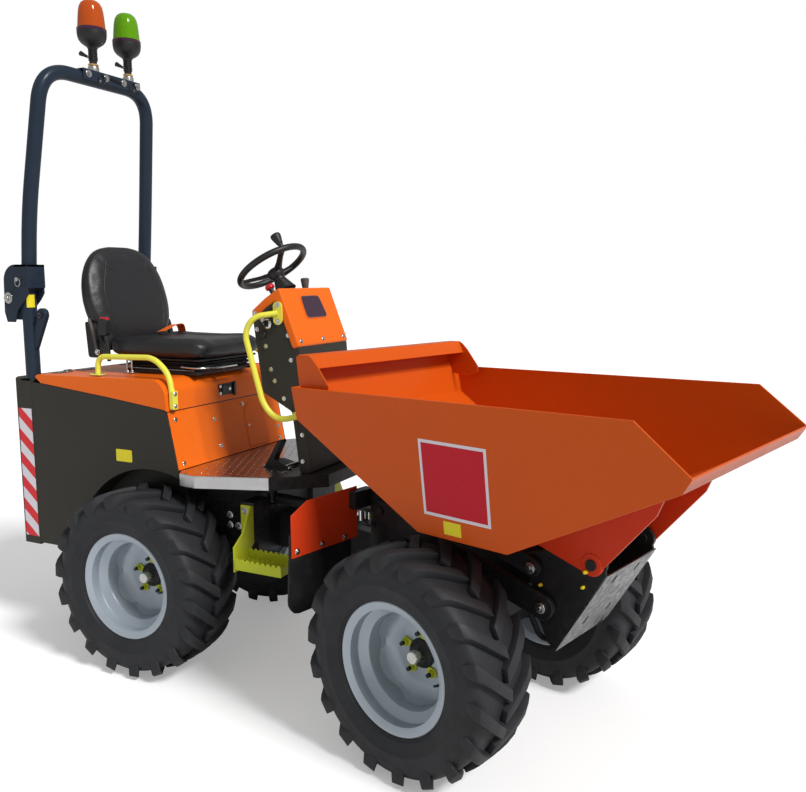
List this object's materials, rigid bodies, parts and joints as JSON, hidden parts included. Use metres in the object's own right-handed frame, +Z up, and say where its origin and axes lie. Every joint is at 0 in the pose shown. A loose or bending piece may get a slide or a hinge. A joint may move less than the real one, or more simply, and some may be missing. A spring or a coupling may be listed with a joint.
{
  "type": "articulated site dumper",
  "caption": "Articulated four-wheel site dumper with a high-lift tipping skip in front of the operator's seat, console, and folding roll bar.",
  "frame": {"origin": "on the ground, under the middle of the machine's outline as parked", "axes": "+X forward along the rear half, +Y to the machine's left, +Z up; the front half is turned 14.8 degrees to the right"},
  "size_m": [3.1692, 1.4148, 2.775],
  "materials": {
    "orange_paint": "satin orange paint",
    "dark_panel": "satin dark grey paint",
    "black_steel": "satin black paint",
    "engine_iron": "dark painted iron",
    "roll_bar_blue": "satin blue grey paint",
    "yellow_steel": "yellow powder coat",
    "lime_steel": "lime powder coat",
    "bright_aluminium": "tread plate",
    "galvanised": "galvanised sheet",
    "rim_silver": "silver paint",
    "tyre_rubber": "matt black rubber",
    "black_vinyl": "black grained vinyl",
    "black_plastic": "matt black plastic",
    "amber_lens": "ribbed amber lens on a black base",
    "green_lens": "ribbed green lens on a black base",
    "polished_rod": "polished rod"
  },
  "bodies": {
    "rear_chassis": {"rear_frame": "black_steel", "rear_axle": "black_steel", "engine_block": "engine_iron", "side_panel_right": "dark_panel", "side_panel_left": "dark_panel", "rear_weight": "dark_panel", "front_panel": "orange_paint", "floor_tread": "bright_aluminium", "floor_nose": "black_steel", "console_column": "dark_panel", "console_cover": "orange_paint", "console_handle_right": "yellow_steel", "console_handle_left": "yellow_steel", "pedal": "black_steel", "step_right": "lime_steel", "step_left": "lime_steel", "roll_post_right": "roll_bar_blue", "roll_post_left": "roll_bar_blue"},
    "bonnet": {"bonnet": "orange_paint", "seat_suspension": "black_plastic", "seat_cushion": "black_vinyl", "seat_back": "black_vinyl", "bonnet_handle_right": "yellow_steel", "bonnet_handle_left": "yellow_steel"},
    "roll_bar": {"roll_bar": "roll_bar_blue", "beacon_amber": "amber_lens", "beacon_green": "green_lens"},
    "steering": {"steering_wheel": "black_plastic"},
    "front_chassis": {"front_frame": "black_steel", "front_axle": "black_steel", "mudguard_right": "orange_paint", "mudguard_left": "orange_paint"},
    "lift_arms": {"lift_arms": "black_steel"},
    "level_links": {"level_links": "black_steel"},
    "nose": {"nose": "black_steel", "nose_guard": "galvanised"},
    "skip": {"skip": "orange_paint"},
    "lift_barrel": {"lift_ram_barrel": "black_steel"},
    "lift_rod": {"lift_ram_rod": "polished_rod"},
    "tip_barrel": {"tip_ram_barrel": "black_steel"},
    "tip_rod": {"tip_ram_rod": "polished_rod"},
    "steer_barrel": {"steer_ram_barrel": "black_steel"},
    "steer_rod": {"steer_ram_rod": "polished_rod"},
    "wheel_rear_right": {"tyre_rear_right": "tyre_rubber", "rim_rear_right": "rim_silver"},
    "wheel_rear_left": {"tyre_rear_left": "tyre_rubber", "rim_rear_left": "rim_silver"},
    "wheel_front_right": {"tyre_front_right": "tyre_rubber", "rim_front_right": "rim_silver"},
    "wheel_front_left": {"tyre_front_left": "tyre_rubber", "rim_front_left": "rim_silver"}
  },
  "joints": [
    {"name": "articulation", "type": "hinge", "parent": "rear_chassis", "child": "front_chassis", "pos_m": [-0.1, 0.152, 0.51], "axis": [0, 0, 1], "range_deg": [-18, 47.5]},
    {"name": "bonnet_hinge", "type": "hinge", "parent": "rear_chassis", "child": "bonnet", "pos_m": [-1.416, 0.152, 1.15], "axis": [0, -1, 0], "range_deg": [0, 60]},
    {"name": "roll_bar_fold", "type": "hinge", "parent": "rear_chassis", "child": "roll_bar", "pos_m": [-1.531, 0.152, 1.481], "axis": [0, -1, 0], "range_deg": [0, 100]},
    {"name": "steering_turn", "type": "hinge", "parent": "rear_chassis", "child": "steering", "pos_m": [-0.437, 0.152, 1.61], "axis": [-0.5556, 0, 0.8315], "continuous": true},
    {"name": "wheel_rear_right_spin", "type": "hinge", "parent": "rear_chassis", "child": "wheel_rear_right", "pos_m": [-0.788, -0.271, 0.372], "axis": [0, 1, 0], "continuous": true},
    {"name": "wheel_rear_left_spin", "type": "hinge", "parent": "rear_chassis", "child": "wheel_rear_left", "pos_m": [-0.788, 0.575, 0.372], "axis": [0, 1, 0], "continuous": true},
    {"name": "wheel_front_right_spin", "type": "hinge", "parent": "front_chassis", "child": "wheel_front_right", "pos_m": [0.49635, -0.4436, 0.372], "axis": [0.2561, 0.9666, 0], "continuous": true},
    {"name": "wheel_front_left_spin", "type": "hinge", "parent": "front_chassis", "child": "wheel_front_left", "pos_m": [0.71302, 0.37418, 0.372], "axis": [0.2561, 0.9666, 0], "continuous": true},
    {"name": "skip_lift", "type": "hinge", "parent": "front_chassis", "child": "lift_arms", "pos_m": [0.25959, 0.05672, 0.73], "axis": [-0.2561, -0.9666, 0], "range_deg": [0, 68]},
    {"name": "level_link_swing", "type": "hinge", "parent": "front_chassis", "child": "level_links", "pos_m": [0.22093, 0.06697, 0.85], "axis": [-0.2561, -0.9666, 0], "range_deg": [0, 68.1]},
    {"name": "nose_level", "type": "hinge", "parent": "lift_arms", "child": "nose", "pos_m": [0.91691, -0.11744, 0.55], "axis": [-0.2561, -0.9666, 0], "range_deg": [-68.1, 0]},
    {"name": "skip_tip", "type": "hinge", "parent": "nose", "child": "skip", "pos_m": [1.07641, -0.1597, 0.722], "axis": [0.2561, 0.9666, 0], "range_deg": [0, 70]},
    {"name": "lift_ram_swing", "type": "hinge", "parent": "front_chassis", "child": "lift_barrel", "pos_m": [0.41426, 0.01574, 0.27], "axis": [-0.2561, -0.9666, 0], "range_deg": [0, 4]},
    {"name": "lift_ram_stroke", "type": "slide", "parent": "lift_barrel", "child": "lift_rod", "axis": [0.0495, -0.0131, 0.9987], "range_m": [0, 0.22]},
    {"name": "tip_ram_swing", "type": "hinge", "parent": "nose", "child": "tip_barrel", "pos_m": [0.91691, -0.11744, 0.55], "axis": [0.2561, 0.9666, 0], "range_deg": [0, 65]},
    {"name": "tip_ram_stroke", "type": "slide", "parent": "tip_barrel", "child": "tip_rod", "axis": [-0.8507, 0.2254, 0.4748], "range_m": [0, 0.275]},
    {"name": "steer_ram_swing", "type": "hinge", "parent": "rear_chassis", "child": "steer_barrel", "pos_m": [-0.348, -0.008, 0.69], "axis": [0, 0, 1], "range_deg": [-9.5, 24.6]},
    {"name": "steer_ram_stroke", "type": "slide", "parent": "steer_barrel", "child": "steer_rod", "axis": [0.9914, -0.1311, 0], "range_m": [-0.05, 0.13]}
  ],
  "couplings": [
    {"joint": "level_link_swing", "follows": "skip_lift", "ratio": 1},
    {"joint": "nose_level", "follows": "skip_lift", "ratio": -1},
    {"joint": "lift_ram_swing", "follows": "skip_lift", "ratio": 0.052},
    {"joint": "lift_ram_stroke", "follows": "skip_lift", "m_per_rad": 0.1822},
    {"joint": "tip_ram_swing", "follows": "skip_tip", "ratio": 0.9225},
    {"joint": "tip_ram_stroke", "follows": "skip_tip", "m_per_rad": 0.2229},
    {"joint": "steer_ram_swing", "follows": "articulation", "ratio": 0.5138},
    {"joint": "steer_ram_stroke", "follows": "articulation", "m_per_rad": 0.155}
  ]
}
